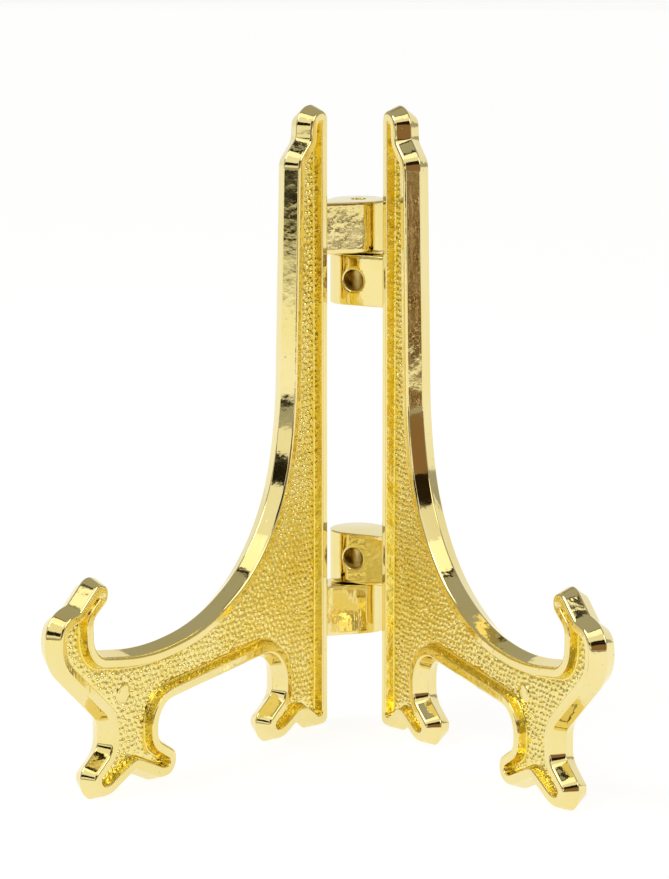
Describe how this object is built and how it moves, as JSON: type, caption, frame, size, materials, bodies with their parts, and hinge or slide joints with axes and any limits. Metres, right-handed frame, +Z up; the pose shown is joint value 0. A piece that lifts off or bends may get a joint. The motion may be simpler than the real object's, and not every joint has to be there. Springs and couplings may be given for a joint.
{
  "type": "plate display stand",
  "caption": "Folding gilt plate stand: mirrored scroll-footed sides with hooked arms, joined by upright hinge pins, hold a plate on edge.",
  "frame": {"origin": "on the ground under the middle of the open stand", "axes": "+Z up, -Y towards the displayed plate, +X to the right of someone facing the plate; the hinge axis is upright on X = 0"},
  "size_m": [0.1282, 0.1002, 0.152],
  "materials": {
    "gilt_moulding": "bright gold metallised coating, pebbled in the recesses",
    "pin_metal": "gold plated, slightly dull"
  },
  "bodies": {
    "left_half": {"left_side": "gilt_moulding", "upper_hinge_pin": "pin_metal", "lower_hinge_pin": "pin_metal"},
    "right_half": {"right_side": "gilt_moulding"}
  },
  "joints": [
    {"name": "fold_hinge", "type": "hinge", "parent": "left_half", "child": "right_half", "pos_m": [0, 0.04318, 0.0757], "axis": [0, 0, 1], "range_deg": [-63.9, 115.7]}
  ]
}
